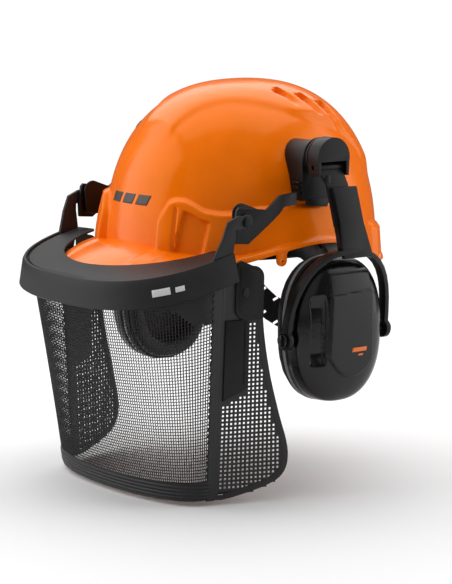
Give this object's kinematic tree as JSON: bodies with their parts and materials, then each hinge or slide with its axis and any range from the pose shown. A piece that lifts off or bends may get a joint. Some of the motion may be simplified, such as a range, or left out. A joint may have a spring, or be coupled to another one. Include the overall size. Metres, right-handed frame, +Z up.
{
  "type": "forestry helmet",
  "caption": "Hard-hat shell with inner harness, a mesh face visor with side panels that swings up, and an ear muff on a sprung arm at each side.",
  "frame": {"origin": "middle of the head opening at the height of the shell's rim, where the helmet sits on the head", "axes": "+X the wearer's left, -Y the way the wearer looks, +Z up"},
  "size_m": [0.3014, 0.318, 0.3408],
  "materials": {
    "orange_shell": "glossy injection-moulded",
    "black_plastic": "fine satin grain",
    "gloss_black": "smooth semi-gloss",
    "visor_mesh": "woven and punched nylon sheet",
    "grey_ring": "satin grey",
    "cushion": "soft black leatherette over foam",
    "foam": "open-cell foam and brushed fabric",
    "webbing": "woven textile tape",
    "steel": "turned pins"
  },
  "bodies": {
    "root": {"shell": "orange_shell", "headband": "black_plastic", "sweatband": "foam", "nape_strap": "black_plastic", "nape_pad": "foam", "nape_ratchet_housing": "black_plastic", "hanger_clip_front_left": "black_plastic", "hanger_clip_front_right": "black_plastic", "hanger_clip_rear_left": "black_plastic", "hanger_clip_rear_right": "black_plastic", "cradle_strap_1": "webbing", "cradle_strap_2": "webbing", "visor_link_left": "black_plastic", "visor_pin_left": "steel", "muff_carrier_left": "black_plastic", "swivel_bolt_left": "steel", "visor_link_right": "black_plastic", "visor_pin_right": "steel", "muff_carrier_right": "black_plastic", "swivel_bolt_right": "steel"},
    "ratchet_knob": {"nape_ratchet_knob": "black_plastic"},
    "visor": {"visor_frame": "black_plastic", "visor_mesh": "visor_mesh", "visor_hem": "black_plastic", "side_panel_left": "visor_mesh", "seam_strip_left": "black_plastic", "stiffener_left": "black_plastic", "clip_plate_left": "black_plastic", "visor_arm_left": "black_plastic", "side_panel_right": "visor_mesh", "seam_strip_right": "black_plastic", "stiffener_right": "black_plastic", "clip_plate_right": "black_plastic", "visor_arm_right": "black_plastic"},
    "swivel_left": {"muff_swivel_left": "black_plastic", "tilt_pin_left": "steel"},
    "tongue_left": {"muff_tongue_left": "black_plastic"},
    "yoke_left": {"yoke_left": "black_plastic", "cup_stud_front_left": "gloss_black", "cup_stud_rear_left": "gloss_black"},
    "cup_left": {"cup_shell_left": "gloss_black", "cup_cover_left": "gloss_black", "cup_ring_left": "grey_ring", "cushion_left": "cushion", "cup_foam_left": "foam"},
    "swivel_right": {"muff_swivel_right": "black_plastic", "tilt_pin_right": "steel"},
    "tongue_right": {"muff_tongue_right": "black_plastic"},
    "yoke_right": {"yoke_right": "black_plastic", "cup_stud_front_right": "gloss_black", "cup_stud_rear_right": "gloss_black"},
    "cup_right": {"cup_shell_right": "gloss_black", "cup_cover_right": "gloss_black", "cup_ring_right": "grey_ring", "cushion_right": "cushion", "cup_foam_right": "foam"}
  },
  "joints": [
    {"name": "visor_swing", "type": "hinge", "parent": "root", "child": "visor", "pos_m": [0, -0.0844, 0.0434], "axis": [-1, 0, 0], "range_deg": [0, 100]},
    {"name": "ratchet_turn", "type": "hinge", "parent": "root", "child": "ratchet_knob", "pos_m": [0, 0.1131, -0.073], "axis": [0, 1, 0], "continuous": true},
    {"name": "muff_swing_left", "type": "hinge", "parent": "root", "child": "swivel_left", "pos_m": [0.1124, -0.005, 0.092], "axis": [1, 0, 0], "range_deg": [-2, 5]},
    {"name": "muff_tilt_left", "type": "hinge", "parent": "swivel_left", "child": "tongue_left", "pos_m": [0.1255, -0.005, 0.084], "axis": [0, -1, 0], "range_deg": [0, 30]},
    {"name": "muff_height_left", "type": "slide", "parent": "tongue_left", "child": "yoke_left", "axis": [0.1423, 0.1423, -0.9795], "range_m": [-0.005, 0.02]},
    {"name": "cup_turn_left", "type": "hinge", "parent": "yoke_left", "child": "cup_left", "pos_m": [0.13, 0, -0.056], "axis": [0, 1, 0], "range_deg": [-8, 8]},
    {"name": "muff_swing_right", "type": "hinge", "parent": "root", "child": "swivel_right", "pos_m": [-0.1124, -0.005, 0.092], "axis": [1, 0, 0], "range_deg": [-2, 5]},
    {"name": "muff_tilt_right", "type": "hinge", "parent": "swivel_right", "child": "tongue_right", "pos_m": [-0.1255, -0.005, 0.084], "axis": [0, 1, 0], "range_deg": [0, 30]},
    {"name": "muff_height_right", "type": "slide", "parent": "tongue_right", "child": "yoke_right", "axis": [-0.1423, 0.1423, -0.9795], "range_m": [-0.005, 0.02]},
    {"name": "cup_turn_right", "type": "hinge", "parent": "yoke_right", "child": "cup_right", "pos_m": [-0.13, 0, -0.056], "axis": [0, -1, 0], "range_deg": [-8, 8]}
  ]
}
